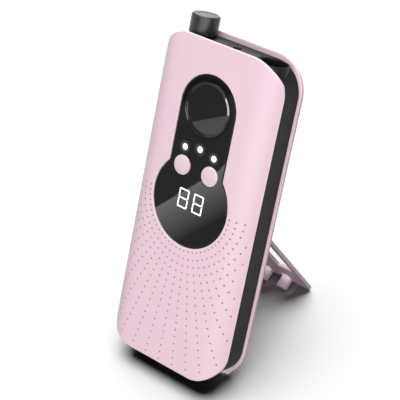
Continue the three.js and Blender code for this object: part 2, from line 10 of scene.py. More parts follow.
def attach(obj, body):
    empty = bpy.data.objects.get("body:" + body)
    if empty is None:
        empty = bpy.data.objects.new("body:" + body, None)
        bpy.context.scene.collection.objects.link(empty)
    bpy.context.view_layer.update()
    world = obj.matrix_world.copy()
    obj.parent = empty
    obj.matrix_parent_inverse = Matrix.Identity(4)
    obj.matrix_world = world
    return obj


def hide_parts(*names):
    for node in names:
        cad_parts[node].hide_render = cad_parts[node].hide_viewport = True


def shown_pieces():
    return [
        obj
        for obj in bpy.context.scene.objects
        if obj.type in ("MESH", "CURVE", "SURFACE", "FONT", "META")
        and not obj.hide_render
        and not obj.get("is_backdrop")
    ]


# Portable nail drill power unit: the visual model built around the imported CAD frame.
# Shapes are drawn in millimetres in the housing's own frame, as in the CAD source: x to the right,
# y to the back with 0 at the rim of the front shell, z up the housing with 0 at its bottom edge.

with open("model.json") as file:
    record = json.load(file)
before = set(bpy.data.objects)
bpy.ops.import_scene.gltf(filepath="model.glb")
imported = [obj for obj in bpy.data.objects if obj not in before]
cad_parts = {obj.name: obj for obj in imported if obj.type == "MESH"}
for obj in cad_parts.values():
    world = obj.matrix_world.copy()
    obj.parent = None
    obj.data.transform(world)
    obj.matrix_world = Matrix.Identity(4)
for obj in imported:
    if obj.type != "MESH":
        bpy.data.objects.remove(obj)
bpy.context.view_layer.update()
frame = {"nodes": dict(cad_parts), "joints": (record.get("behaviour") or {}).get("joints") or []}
nodes = frame["nodes"]
joints = {joint["name"]: joint for joint in frame["joints"]}

MM = 0.001
SOFTENED_FROM = math.radians(40)  # edges at least this sharp are rounded
HINGE_Y = 12.5
HINGE_Z = 67.5
ACROSS = np.array((1.0, 0.0, 0.0))
BACK = np.array(joints["button_left_press"]["axis"])
UP = -np.array(joints["speed_knob_turn"]["axis"])
ORIGIN = np.array(joints["kickstand_fold"]["pos_m"]) - (BACK * HINGE_Y + UP * HINGE_Z) * MM
LEAN = math.atan2(UP[1], UP[2])
STAND_OPEN = math.radians(joints["kickstand_fold"]["range_deg"][1])


def to_row(points):
    """Points in housing millimetres as points in the row frame, in metres."""
    return ORIGIN + np.asarray(points, float) @ np.stack((ACROSS, BACK, UP)) * MM


def housing_box(node):
    """Lowest and highest corner of a CAD node in housing millimetres."""
    corners = np.array([v.co for v in nodes[node].data.vertices], float)
    local = (corners - ORIGIN) @ np.stack((ACROSS, BACK, UP)).T / MM
    return local.min(0), local.max(0)


# ---- sizes, in millimetres ----

shell_low, shell_high = housing_box("front_shell")
HALF = shell_high[0]
HEIGHT = shell_high[2]
CROWN = -shell_low[1]
FLAT = 18.0  # half width of the flat middle of the arch
FLANK_BEND = 2.9  # the power that shapes the arch's flank
WALL = 1.4
CORNER = 14.5
SHELL_EDGE = 0.2  # rounding of the shell's cut edges
WINDOW_GROW = 0.15  # gap between the shell's window and the panel
SKIN_RINGS = 54

DOT_RADIUS = 0.42
DOT_SINK = 0.06  # how far a dimple's centre stands in front of the arch
DOT_STEP = 6  # degrees between rays of dots
DOT_FIRST = 21.2  # radius of the first row round the panel's base
DOT_ROWS = 26
DOT_PITCH = 3.155
DOT_MARGIN = 1.2

band_low, band_high = housing_box("mid_frame")
BAND_HALF = band_high[0]
BAND_BOTTOM = band_low[2]
BAND_TOP = band_high[2]
BAND_BACK = band_high[1]
BAND_CORNER = 13.2
BAND_WALL = 1.5
BAND_UNDER = 1.7  # the band's front edge lies this far under the shell's outer face
BAND_EDGE = 0.2

cover_low, cover_high = housing_box("back_cover")
COVER_HALF = cover_high[0]
COVER_BOTTOM = cover_low[2]
COVER_TOP = cover_high[2] - 0.03  # keeps the rounded top inside the CAD's box
COVER_BACK = cover_high[1]
COVER_FRONT = 10.55
COVER_EDGE = 0.2  # rounding of the cover's front edge
COVER_CORNER = 14.95
COVER_ROUND = 3.0
COVER_WALL = 1.6
SCREWS = [(x, z) for z in (14.0, 92.0) for x in (-26.2, 26.2)]

TUB_HALF = 25.4  # half width of the tub behind the cover that takes the folded stand
TUB_FRONT = 9.6
TUB_BACK = 12.6

HEAD_Z = 112.9
HEAD_RADIUS = 14.2
BASE_Z = 73.4
BASE_RADIUS = 19.5
SHOULDER = 1.8
FAN_CENTRE = (0.0, 85.0)  # a point that sees every part of both outlines
PANEL_FRONT = -6.0
PANEL_BACK = -4.4
FLANGE_GROW = 1.2  # how far the panel's flange reaches behind the shell
LENS_RADIUS = 11.3
LENS_FRONT = -6.25
LENS_LAND = 0.3  # width of the lens's rounded rim
LENS_FLANK = 1.1
LENS_DISH = 0.28
LENS_SAG = 0.3

BUTTON_RADIUS = 4.15
BUTTONS = {"button_left": -7.3, "button_right": 7.3}
BUTTON_Z = 86.9
LED_RADIUS = 1.2
LEDS = {"led_left": (-7.65, 94.65), "led_middle": (0.0, 96.0), "led_right": (7.65, 94.65)}
DIGIT_WIDTH = 5.15
DIGIT_HEIGHT = 8.2
DIGIT_PITCH = 7.75
DIGIT_STROKE = 0.56
DIGIT_GAP = 0.15  # between the ends of two segments and the corner they meet at
DISPLAY = (0.45, 73.6)

KNOB = (-17.3, 4.0)
KNOB_RADIUS = 5.95
KNOB_SPAN = (138.8, 146.82)
JACK = (1.75, 3.0)
JACK_HOLE = 1.8
BUSHING_HOLE = 4.05
HOLDER = (20.3, 2.5)
HOLDER_RADIUS = 6.9
HOLDER_BORE = 6.2
HOLDER_SPAN = (101.0, 138.2)
PORT = (4.75, 1.85, 1.6)  # half width, half depth and corner radius of the charging port's slot
PORT_Y = 2.0

STAND_HALF = 23.0
STAND_LENGTH = 66.5
STAND_CORNER = 2.0
STAND_FACES = (-0.05, 1.45)
STAND_GAP = 0.35  # room round the folded stand
SLOT_X = 16
SLOT_HALF = 4
SLOT_SPAN = (-48.5, -12)
WINDOW_HEIGHT = 3.4  # of the square holes that the prongs are bent out of
PIN_BORE = 0.82
PRONGS = (-11.0, 0.0, 11.0)
PRONG_HALF = 2.4
PRONG_SPAN = (-64.0, -62.0)
PRONG_TIP = -5.4


# ---- outlines in x and z, seen from the front ----

def arc(centre, radius, start, end, count):
    turn = np.linspace(start, end, count)
    return np.stack((centre[0] + radius * np.cos(turn), centre[1] + radius * np.sin(turn)), 1)


def round_rect(half, bottom, top, radius, count=28):
    quarter = math.pi / 2
    x, low, high = half - radius, bottom + radius, top - radius
    corners = ((x, high), (-x, high), (-x, low), (x, low))
    return np.concatenate([
        arc(corner, radius, k * quarter, (k + 1) * quarter, count)
        for k, corner in enumerate(corners)
    ])


def keyhole(grow, count=40):
    """The panel's outline, grown outwards: a round head over a larger round base."""
    fillet_x = HEAD_RADIUS + SHOULDER
    rise = math.sqrt((BASE_RADIUS + SHOULDER) ** 2 - fillet_x**2)
    tilt = math.atan2(rise, fillet_x)
    fillet = SHOULDER - grow
    shoulder = BASE_Z + rise
    return np.concatenate([
        arc((0, HEAD_Z), HEAD_RADIUS + grow, 0, math.pi, 2 * count),
        arc((-fillet_x, shoulder), fillet, 0, -tilt, 8),
        arc((0, BASE_Z), BASE_RADIUS + grow, math.pi - tilt, 2 * math.pi + tilt, 3 * count),
        arc((fillet_x, shoulder), fillet, math.pi + tilt, math.pi, 8),
    ])


def densely(outline, count):
    """The closed outline again, as evenly spaced points."""
    loop = np.concatenate((outline, outline[:1]))
    steps = np.linalg.norm(np.diff(loop, axis=0), axis=1)
    along = np.concatenate(([0.0], np.cumsum(steps)))
    at = np.linspace(0, along[-1], count, endpoint=False)
    return np.stack([np.interp(at, along, loop[:, k]) for k in (0, 1)], 1)


def bearing(points):
    return np.arctan2(points[:, 1] - FAN_CENTRE[1], points[:, 0] - FAN_CENTRE[0])


def at_bearings(outline, bearings):
    """Points of the outline in the given directions from the fan's centre."""
    dense = densely(outline, 4000)
    angles = bearing(dense)
    return np.stack(
        [np.interp(bearings, angles, dense[:, k], period=2 * math.pi) for k in (0, 1)], 1
    )


def crown(x, inset=0.0):
    """How far the arch stands in front of the rim at x, for a skin that lies inset inwards."""
    reach = np.clip((np.abs(x) - FLAT) / (HALF - inset - FLAT), 0.0, 1.0)
    return (CROWN - inset) * (1.0 - reach**FLANK_BEND)


# ---- meshes ----

def new_object(name, points, faces):
    """A closed mesh with its faces turned outwards, still in housing millimetres."""
    mesh = bpy.data.meshes.new(name)
    mesh.from_pydata([tuple(p) for p in np.asarray(points, float)], [], faces)
    work = bmesh.new()
    work.from_mesh(mesh)
    bmesh.ops.recalc_face_normals(work, faces=work.faces)
    work.to_mesh(mesh)
    work.free()
    made = bpy.data.objects.new(name, mesh)
    bpy.context.scene.collection.objects.link(made)
    return made


def rings_to_object(name, rings, around=False):
    """Rings of equal count joined by quads, closed into a torus or capped at both ends."""
    count, total = len(rings[0]), len(rings)
    last = total if around else total - 1
    faces = []
    for r in range(last):
        a, b = r * count, ((r + 1) % total) * count
        for i in range(count):
            j = (i + 1) % count
            faces.append((a + i, a + j, b + j, b + i))
    if not around:
        faces.append(tuple(range(count)))
        faces.append(tuple(range((total - 1) * count, total * count)))
    return new_object(name, np.concatenate(rings), faces)


def ring_at(outline, y):
    """An outline in x and z as a ring in space at a depth, which may differ from point to point."""
    return np.stack((outline[:, 0], np.zeros(len(outline)) + y, outline[:, 1]), 1)


def quarter_round(radius, steps=4):
    """Pairs of inset and setback round an edge, from the side wall to the face."""
    turns = np.linspace(0, math.pi / 2, steps + 1)
    return [(radius * (1 - math.cos(t)), radius * (1 - math.sin(t))) for t in turns]


def slab(name, outline, front, back, front_edge=0.0, back_edge=0.0, mouth=0.0):
    """A plate between two depths with rounded edges, or a cutter with a flared back end."""
    rings = [(0.0, front)]
    if front_edge:
        rings = [(inset, front + set_back) for inset, set_back in quarter_round(front_edge)][::-1]
    if mouth:
        rings += [(0.0, COVER_BACK - mouth), (-mouth, COVER_BACK + 0.01)]
        rings += [(-mouth, back)]
    elif back_edge:
        rings += [(inset, back - set_back) for inset, set_back in quarter_round(back_edge)]
    else:
        rings += [(0.0, back)]
    return rings_to_object(name, [ring_at(outline(inset), y) for inset, y in rings])


AXES = {"x": (1, 2, 0), "y": (0, 2, 1), "z": (0, 1, 2)}  # two across, then the one along


def lathe(name, profile, at, axis="y", count=64):
    """A turned solid from pairs of radius and height along an axis; radius 0 closes an end."""
    first, second, along = AXES[axis]
    turn = np.linspace(0, 2 * math.pi, count, endpoint=False)
    points, faces, rows = [], [], []
    for radius, height in profile:
        poles = 1 if radius == 0 else count
        ring = np.zeros((poles, 3))
        ring[:, first] = at[0] + radius * np.cos(turn[:poles])
        ring[:, second] = at[1] + radius * np.sin(turn[:poles])
        ring[:, along] = height
        rows.append((len(points), poles))
        points.extend(ring)
    for (a, a_count), (b, b_count) in zip(rows, rows[1:]):
        for i in range(count):
            j = (i + 1) % count
            lower = (a,) if a_count == 1 else (a + i, a + j)
            upper = (b,) if b_count == 1 else (b + j, b + i)
            faces.append(lower + upper)
    return new_object(name, points, faces)


def rod(name, radius, at, span, axis="y", count=64):
    low, high = span
    return lathe(name, [(0, low), (radius, low), (radius, high), (0, high)], at, axis, count)


def block(name, spans):
    corners = [(x, y, z) for x in spans[0] for y in spans[1] for z in spans[2]]
    faces = [(0, 1, 3, 2), (4, 6, 7, 5), (0, 4, 5, 1), (2, 3, 7, 6), (0, 2, 6, 4), (1, 5, 7, 3)]
    return new_object(name, corners, faces)


def bake(made):
    """Replaces an object's mesh by what its modifiers make of it."""
    shown = made.evaluated_get(bpy.context.evaluated_depsgraph_get())
    mesh = bpy.data.meshes.new_from_object(shown)
    made.modifiers.clear()
    made.data = mesh


def combine(made, operation, *others):
    for other in others:
        step = made.modifiers.new("combine", "BOOLEAN")
        step.operation = operation
        step.solver = "MANIFOLD"
        step.material_mode = "TRANSFER"
        step.object = other
        bake(made)
        bpy.data.objects.remove(other)
    return made


def soften(made, width):
    """Rounds the sharp edges that are left after cutting."""
    work = bmesh.new()
    work.from_mesh(made.data)
    bmesh.ops.remove_doubles(work, verts=work.verts, dist=0.002)
    bmesh.ops.dissolve_limit(
        work, angle_limit=math.radians(0.3), verts=work.verts, edges=work.edges
    )
    work.to_mesh(made.data)
    work.free()
    step = made.modifiers.new("edges", "BEVEL")
    step.width = width
    step.segments = 2
    step.limit_method = "ANGLE"
    step.angle_limit = SOFTENED_FROM
    step.miter_outer = "MITER_ARC"
    bake(made)
    return made


def turn_stand(points):
    """Points drawn on the folded stand, about its hinge, as housing points with the stand open."""
    x, y, z = np.asarray(points, float).T
    c, s = math.cos(STAND_OPEN), math.sin(STAND_OPEN)
    return np.stack((x, HINGE_Y + y * c - z * s, HINGE_Z + y * s + z * c), 1)


def add_piece(made, materials, body, replaces=(), sharp=35, placing=None):
    mesh = made.data
    points = np.array([v.co for v in mesh.vertices], float)
    if placing:
        points = placing(points)
    mesh.vertices.foreach_set("co", to_row(points).astype(np.float32).ravel())
    mesh.update()
    if materials:
        mesh.materials.clear()
    for material in materials:
        mesh.materials.append(material)
    mesh.shade_smooth()
    mesh.set_sharp_from_angle(angle=math.radians(sharp))
    weighted = made.modifiers.new("normals", "WEIGHTED_NORMAL")
    weighted.keep_sharp = True
    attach(made, body)
    if replaces:
        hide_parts(*replaces)
    return made


# ---- materials ----

def srgb(red, green, blue):
    """A colour given as it looks, from 0 to 255, as scene-linear RGBA."""
    scaled = [c / 255 for c in (red, green, blue)]
    linear = [c / 12.92 if c <= 0.04045 else ((c + 0.055) / 1.055) ** 2.4 for c in scaled]
    return (*linear, 1.0)


class Finish:
    """A node material whose textures run in housing millimetres."""

    def __init__(self, name, **sockets):
        self.material = bpy.data.materials.new(name)
        self.material.use_nodes = True
        self.tree = self.material.node_tree
        self.shader = self.tree.nodes["Principled BSDF"]
        for socket, value in sockets.items():
            self.shader.inputs[socket.replace("_", " ")].default_value = value
        place = self.add("ShaderNodeTexCoord")
        self.mm = self.add("ShaderNodeMapping")
        self.mm.inputs["Scale"].default_value = (1 / MM,) * 3
        self.mm.inputs["Rotation"].default_value = (LEAN, 0, 0)
        offset = np.array([axis @ ORIGIN for axis in (ACROSS, BACK, UP)]) / MM
        self.mm.inputs["Location"].default_value = tuple(-offset)
        self.link(place.outputs["Object"], self.mm.inputs["Vector"])

    def add(self, kind, **settings):
        node = self.tree.nodes.new(kind)
        for setting, value in settings.items():
            setattr(node, setting, value)
        return node

    def link(self, source, target):
        self.tree.links.new(source, target)

    def noise(self, size, detail=2.0, stretch=None):
        """Noise with features of a size in millimetres, longer along some axes if stretched."""
        node = self.add("ShaderNodeTexNoise")
        node.inputs["Scale"].default_value = 1 / size
        node.inputs["Detail"].default_value = detail
        source = self.mm.outputs["Vector"]
        if stretch:
            longer = self.add("ShaderNodeMapping")
            longer.inputs["Scale"].default_value = tuple(1 / s for s in stretch)
            self.link(source, longer.inputs["Vector"])
            source = longer.outputs["Vector"]
        self.link(source, node.inputs["Vector"])
        return node.outputs["Fac"]

    def ramp(self, source, *stops):
        """Maps 0..1 to colours or greys given as pairs of position and value."""
        node = self.add("ShaderNodeValToRGB")
        elements = node.color_ramp.elements
        while len(elements) < len(stops):
            elements.new(0.5)
        for element, (position, value) in zip(elements, stops):
            element.position = position
            element.color = value if isinstance(value, tuple) else (value, value, value, 1)
        self.link(source, node.inputs["Fac"])
        return node.outputs["Color"]

    def maths(self, operation, first, second):
        node = self.add("ShaderNodeMath", operation=operation)
        for socket, value in zip(node.inputs, (first, second)):
            if isinstance(value, (int, float)):
                socket.default_value = value
            else:
                self.link(value, socket)
        return node.outputs["Value"]

    def mix(self, factor, first, second, blend="MIX"):
        node = self.add("ShaderNodeMix", data_type="RGBA", blend_type=blend)
        for socket, value in ((0, factor), (6, first), (7, second)):
            if isinstance(value, (tuple, float, int)):
                node.inputs[socket].default_value = value
            else:
                self.link(value, node.inputs[socket])
        return node.outputs[2]

    def colour(self, source):
        self.link(source, self.shader.inputs["Base Color"])
        return self

    def rough(self, source, low, high):
        """Roughness that wanders between two values."""
        self.link(self.ramp(source, (0.3, low), (0.7, high)), self.shader.inputs["Roughness"])
        return self

    def bump(self, source, height):
        """Relief of a height in millimetres."""
        node = self.add("ShaderNodeBump")
        node.inputs["Strength"].default_value = 1.0
        node.inputs["Distance"].default_value = height * MM
        self.link(source, node.inputs["Height"])
        self.link(node.outputs["Normal"], self.shader.inputs["Normal"])
        return self


GRAIN_RELIEF = 0.006  # millimetres


def moulded(name, tints, rough, grain=0.35, **sockets):
    """Moulded plastic: slow drifts of tint, a fine spark-eroded grain and uneven gloss."""
    made = Finish(name, **sockets)
    drift = made.ramp(made.noise(38.0, 1.0), (0.38, tints[0]), (0.62, tints[1]))
    fleck = made.ramp(made.noise(grain * 1.7, 3.0), (0.2, 0.965), (0.8, 1.0))
    made.colour(made.mix(1.0, drift, fleck, "MULTIPLY"))
    made.rough(made.noise(6.0, 3.0), *rough)
    made.bump(made.noise(grain, 2.0), GRAIN_RELIEF)
    return made.material


PINK = moulded(
    "pink_moulded_plastic",
    (srgb(238, 205, 220), srgb(237, 208, 217)),
    (0.38, 0.48),
    Specular_IOR_Level=0.4,
)
BUTTON_PINK = moulded(
    "pink_button_plastic",
    (srgb(231, 205, 216), srgb(232, 208, 214)),
    (0.3, 0.38),
    Specular_IOR_Level=0.4,
)
# A paler pink for the shell's rounded cut edges: a painted highlight along the edges of the same
# pink plastic.
EDGE_HIGHLIGHT_PINK = moulded(
    "pink_edge_painted_highlight",
    (srgb(247, 230, 238), srgb(249, 233, 240)),
    (0.25, 0.33),
)
# The dimples' floors are a darker mauve pink: painted shade inside the dimples.
DIMPLE_SHADE = moulded("dimple_floor_painted_shade", (srgb(182, 146, 165), srgb(172, 136, 155)), (0.5, 0.6))
# The stand's pink: the housing's pink plastic made darker, as painted shade over the whole stand.
SHADED_STAND_PINK = moulded(
    "stand_pink_painted_shade",
    (srgb(210, 182, 198), srgb(206, 182, 194)),
    (0.42, 0.54),
    Specular_IOR_Level=0.4,
)
BLACK = moulded(
    "black_satin_plastic",
    (srgb(21, 22, 22), srgb(24, 25, 25)),
    (0.38, 0.48),
    grain=0.3,
    Specular_IOR_Level=0.15,
)
KNOB_BLACK = moulded(
    "black_knob_plastic",
    (srgb(34, 35, 36), srgb(40, 41, 42)),
    (0.28, 0.36),
    grain=0.3,
    Specular_IOR_Level=0.45,
)


def smoked_panel():
    """Polished smoked plastic, with the light pipes' glow bleeding into it round each pipe."""
    made = Finish("smoked_gloss_plastic", Specular_IOR_Level=0.3)
    made.colour(made.ramp(made.noise(9.0, 2.0), (0.3, srgb(22, 22, 23)), (0.7, srgb(26, 26, 27))))
    made.rough(made.noise(14.0, 4.0), 0.012, 0.03)
    glow = None
    for x, z in LEDS.values():
        near = made.add("ShaderNodeVectorMath", operation="DISTANCE")
        near.inputs[1].default_value = (x, PANEL_FRONT, z)
        made.link(made.mm.outputs["Vector"], near.inputs[0])
        reach = made.maths("DIVIDE", near.outputs["Value"], 3.1)
        halo = made.ramp(reach, (0.3, 0.42), (0.5, 0.15), (0.75, 0.03), (1.0, 0.0))
        glow = halo if glow is None else made.mix(1.0, glow, halo, "ADD")
    made.link(glow, made.shader.inputs["Emission Color"])
    made.shader.inputs["Emission Strength"].default_value = 0.55
    return made.material


def glowing(name, strength):
    """Milky diffuser lit from behind, a little brighter in patches."""
    made = Finish(name, Roughness=0.3)
    milky = (0.3, srgb(238, 238, 240)), (0.7, srgb(250, 250, 250))
    made.colour(made.ramp(made.noise(0.8, 2.0), *milky))
    patch = made.ramp(made.noise(1.3, 2.0), (0.3, 0.93), (0.7, 1.0))
    made.link(patch, made.shader.inputs["Emission Color"])
    made.shader.inputs["Emission Strength"].default_value = strength
    return made.material


def metal(name, tints, rough, stretch, relief):
    """Drawn metal with fine lines along it."""
    made = Finish(name, Metallic=1.0)
    lines = made.noise(0.12, 3.0, stretch)
    made.colour(made.ramp(lines, (0.3, tints[0]), (0.7, tints[1])))
    made.rough(made.noise(2.5, 3.0), *rough)
    made.bump(lines, relief)
    return made.material


def circuit_board():
    """Green solder mask over copper tracks, with tinned pads."""
    made = Finish("green_circuit_board", Specular_IOR_Level=0.5)
    tracks = made.add("ShaderNodeTexBrick")
    tracks.inputs["Scale"].default_value = 0.45
    tracks.inputs["Mortar Size"].default_value = 0.03
    flat = made.add("ShaderNodeMapping")
    flat.inputs["Rotation"].default_value = (math.pi / 2, 0, 0)
    made.link(made.mm.outputs["Vector"], flat.inputs["Vector"])
    made.link(flat.outputs["Vector"], tracks.inputs["Vector"])
    tracks.inputs["Color1"].default_value = srgb(20, 92, 58)
    tracks.inputs["Color2"].default_value = srgb(24, 100, 62)
    tracks.inputs["Mortar"].default_value = srgb(66, 140, 90)
    pads = made.add("ShaderNodeTexVoronoi", feature="F1")
    pads.inputs["Scale"].default_value = 0.4
    made.link(made.mm.outputs["Vector"], pads.inputs["Vector"])
    tinned = made.ramp(pads.outputs["Distance"], (0.1, 1.0), (0.14, 0.0))
    made.colour(made.mix(tinned, tracks.outputs["Color"], srgb(190, 192, 190)))
    made.rough(made.noise(3.0), 0.3, 0.45)
    made.bump(tinned, 0.03)
    return made.material


def foil():
    """Crinkled pouch foil."""
    made = Finish("battery_pouch_foil", Metallic=0.85)
    creases = made.noise(5.0, 6.0)
    made.colour(made.ramp(creases, (0.3, srgb(182, 184, 188)), (0.7, srgb(202, 204, 207))))
    made.rough(made.noise(2.0, 3.0), 0.28, 0.42)
    made.bump(creases, 0.25)
    return made.material


PANEL = smoked_panel()
LIT = glowing("white_light_pipe", 1.6)
DIGIT_LIT = glowing("white_display_segment", 1.05)
STEEL = metal(
    "bright_steel",
    (srgb(176, 178, 180), srgb(196, 198, 200)),
    (0.24, 0.34),
    stretch=(1, 9, 1),
    relief=0.004,
)
BOARD = circuit_board()
FOIL = foil()
LEAD = moulded("red_lead_cover", (srgb(160, 28, 24), srgb(170, 34, 30)), (0.4, 0.5), grain=0.2)


# ---- housing ----

def build_shell():
    """The arched front skin, from the panel's window to the rim, with rounded cut edges."""
    rim_points = densely(round_rect(HALF, 0, HEIGHT, CORNER), 640)
    angles = bearing(rim_points)

    def window(grow):
        return at_bearings(keyhole(WINDOW_GROW + grow), angles)

    def rim(inset):
        return at_bearings(round_rect(HALF - inset, inset, HEIGHT - inset, CORNER - inset), angles)

    def inner(outline):
        return -crown(outline[:, 0], WALL)

    def outer(outline):
        return -crown(outline[:, 0])

    rings = []
    edge = quarter_round(SHELL_EDGE, 5)
    for grow, drop in edge:
        outline = window(grow)
        rings.append(ring_at(outline, outer(outline) + drop))
    start, end = window(SHELL_EDGE), rim(SHELL_EDGE)
    for t in np.linspace(0, 1, SKIN_RINGS)[1:-1]:
        share = math.sin(t * math.pi / 2)
        outline = (1 - share) * start + share * end
        rings.append(ring_at(outline, outer(outline)))
    for inset, drop in edge[::-1]:
        outline = rim(inset)
        depth = np.minimum(outer(outline) + drop, inner(outline) - 0.2)
        rings.append(ring_at(outline, depth))
    for inset, drop in quarter_round(0.12, 2):
        outline = rim(inset)
        rings.append(ring_at(outline, inner(outline) - drop))
    start, end = rim(0.12), window(0.0)
    for share in np.linspace(0, 1, 18)[1:]:
        outline = (1 - share) * start + share * end
        rings.append(ring_at(outline, inner(outline)))
    made = rings_to_object("shell_skin", rings, around=True)
    made.data.materials.append(PINK)
    made.data.materials.append(EDGE_HIGHLIGHT_PINK)
    # The rounded edges of the window and of the rim take the paler pink, which paints a highlight
    # along them.
    face_end = len(edge) + SKIN_RINGS - 2
    cut = np.zeros(len(rings), np.int32)
    cut[: len(edge) - 2] = 1
    cut[face_end + 2 : face_end + len(edge) + 3] = 1
    cut[-1] = 1
    made.data.polygons.foreach_set("material_index", np.repeat(cut, len(angles)))
    return made


def dot_places():
    """Dots on rays that fan out from the panel's round base, kept inside the shell's rim."""
    places = []
    for degrees in range(-180, 1, DOT_STEP):
        ray = math.radians(degrees)
        for row in range(DOT_ROWS):
            reach = DOT_FIRST + row * DOT_PITCH
            x, z = reach * math.cos(ray), BASE_Z + reach * math.sin(ray)
            corner_x = max(abs(x) - (HALF - CORNER), 0)
            corner_z = max(CORNER - z, 0)
            inside_corner = math.hypot(corner_x, corner_z) < CORNER - DOT_MARGIN
            if z > DOT_MARGIN and abs(x) < HALF - DOT_MARGIN and inside_corner:
                places.append((x, z))
    return places


def dot_cutter():
    """One mesh of small balls, a dimple each."""
    ball = bmesh.new()
    bmesh.ops.create_uvsphere(ball, u_segments=14, v_segments=8, radius=DOT_RADIUS)
    points = np.array([v.co for v in ball.verts])
    faces = [[v.index for v in face.verts] for face in ball.faces]
    ball.free()
    all_points, all_faces = [], []
    for x, z in dot_places():
        start = len(all_points)
        all_points.extend(points + (x, -crown(x) - DOT_SINK, z))
        all_faces.extend([tuple(i + start for i in face) for face in faces])
    cutter = new_object("dot_cutter", all_points, all_faces)
    # the dimples' faces take the darker pink, painted shade inside them
    cutter.data.materials.append(DIMPLE_SHADE)
    return cutter


def build_band():
    """The black band between the shell and the cover, with openings for what passes through it."""
    angles = bearing(densely(round_rect(BAND_HALF, BAND_BOTTOM, BAND_TOP, BAND_CORNER), 520))

    def outline(inset):
        shape = round_rect(
            BAND_HALF - inset, BAND_BOTTOM + inset, BAND_TOP - inset, BAND_CORNER - inset
        )
        return at_bearings(shape, angles)

    def front(points):
        depth = -crown(points[:, 0], BAND_UNDER)
        return np.where(depth > -0.01, 0.3, depth)

    rings = []
    for inset, set_back in quarter_round(BAND_EDGE, 3)[::-1]:
        rings.append(ring_at(outline(inset), front(outline(inset)) + set_back))
    for inset, set_back in quarter_round(BAND_EDGE, 3):
        rings.append(ring_at(outline(inset), BAND_BACK - set_back))
    rings.append(ring_at(outline(BAND_WALL), BAND_BACK))
    rings.append(ring_at(outline(BAND_WALL), front(outline(BAND_WALL))))
    band = rings_to_object("frame_band", rings, around=True)
    inside, outside = BAND_TOP - 8, BAND_TOP + 4

    def opening(name, radius, at, chamfer):
        profile = [(0, inside), (radius, inside), (radius, BAND_TOP - chamfer)]
        profile += [(radius + chamfer, BAND_TOP), (radius + chamfer, outside), (0, outside)]
        return lathe(name, profile, at, "z", 96)

    combine(
        band,
        "DIFFERENCE",
        opening("bushing_opening", BUSHING_HOLE, KNOB, 0.01),
        opening("jack_opening", JACK_HOLE, JACK, 0.3),
        rod("sleeve_opening", HOLDER_RADIUS + 0.15, HOLDER, (110, outside), "z", 96),
        port_opening(),
    )
    return band


def port_opening():
    """The slot for the charging port in the bottom of the band, with a flared mouth."""
    half, deep, corner = PORT
    rings = []
    for grow, z in ((0.35, 0.5), (0.35, BAND_BOTTOM), (0.0, BAND_BOTTOM + 0.35), (0.0, 5.0)):
        wide = round_rect(half + grow, -deep - grow, deep + grow, corner + grow, 12)
        rings.append(np.stack((wide[:, 0], wide[:, 1] + PORT_Y, np.full(len(wide), z)), 1))
    return rings_to_object("port_opening", rings)


def cover_outline(inset):
    return round_rect(
        COVER_HALF - inset, COVER_BOTTOM + inset, COVER_TOP - inset, COVER_CORNER - inset, 36
    )


def cover_form(name):
    """The outside of the back cover, rounded over along its back edge."""
    rings = [(inset, COVER_FRONT + drop) for inset, drop in quarter_round(COVER_EDGE, 3)][::-1]
    rings += [(inset, COVER_BACK - drop) for inset, drop in quarter_round(COVER_ROUND, 12)]
    return rings_to_object(name, [ring_at(cover_outline(inset), y) for inset, y in rings])


def build_cover():
    """The back cover: a shallow tray with screw bosses and a tub for the folded stand."""
    cover = cover_form("cover_skin")
    pocket = slab(
        "pocket",
        lambda inset: round_rect(HALF - 2.4, 2.4, HEIGHT - 2.4, CORNER - 2.4),
        COVER_FRONT - 1,
        COVER_BACK - COVER_WALL,
    )
    combine(cover, "DIFFERENCE", pocket)
    tub = slab(
        "tub",
        lambda inset: round_rect(TUB_HALF, BAND_BOTTOM + 1.8, 72, 8, 20),
        TUB_FRONT,
        TUB_BACK,
    )
    pad = slab(
        "foot_pad",
        lambda inset: round_rect(TUB_HALF, 1.2, 8, 1, 6),
        COVER_FRONT + 0.3,
        TUB_BACK,
    )
    bosses = [rod("boss", 2.4, place, (6.1, TUB_BACK)) for place in SCREWS]
    combine(cover, "UNION", tub, pad, *bosses)
    cuts = []
    for place in SCREWS:
        sink = [(0, 5), (1.15, 5), (1.15, 11.6), (2, 11.6), (2, COVER_BACK - 0.2)]
        sink += [(2.2, COVER_BACK + 0.01), (2.2, 15), (0, 15)]
        cuts.append(lathe("sink", sink, place))
    combine(cover, "DIFFERENCE", *cuts, *stand_room())
    return cover


def stand_room():
    """Cutters for the folded stand, its barrel, heel, prongs and pin, and for a fingernail."""
    half, deep = STAND_HALF + 0.6, COVER_BACK + 1
    foot = HINGE_Z - STAND_LENGTH - STAND_GAP
    top = HINGE_Z + STAND_FACES[1] + STAND_GAP
    corner = STAND_CORNER + STAND_GAP

    def recess(inset):
        return round_rect(half - inset, foot + inset, top - inset, corner - inset, 12)

    room = [slab("plate_room", recess, 11.25, deep, mouth=0.25)]
    room.append(block("barrel_room", ((-half, half), (10.75, 13), (65, top))))
    room.append(block("heel_room", ((-4, 4), (9.8, deep), (65.4, 70.7))))
    for x in PRONGS:
        side = PRONG_HALF + 0.4
        room.append(block("prong_room", ((x - side, x + side), (8.6, 12.25), (3, 6.2))))
    room.append(slab(
        "nail_notch",
        lambda inset: round_rect(6.5 - inset, -3 + inset, 1.5 - inset, 1.4, 10),
        12.6,
        deep,
        mouth=0.25,
    ))
    room.append(rod("pin_room", PIN_BORE, (HINGE_Y, HINGE_Z), (-25, 25), "x", 32))
    return room


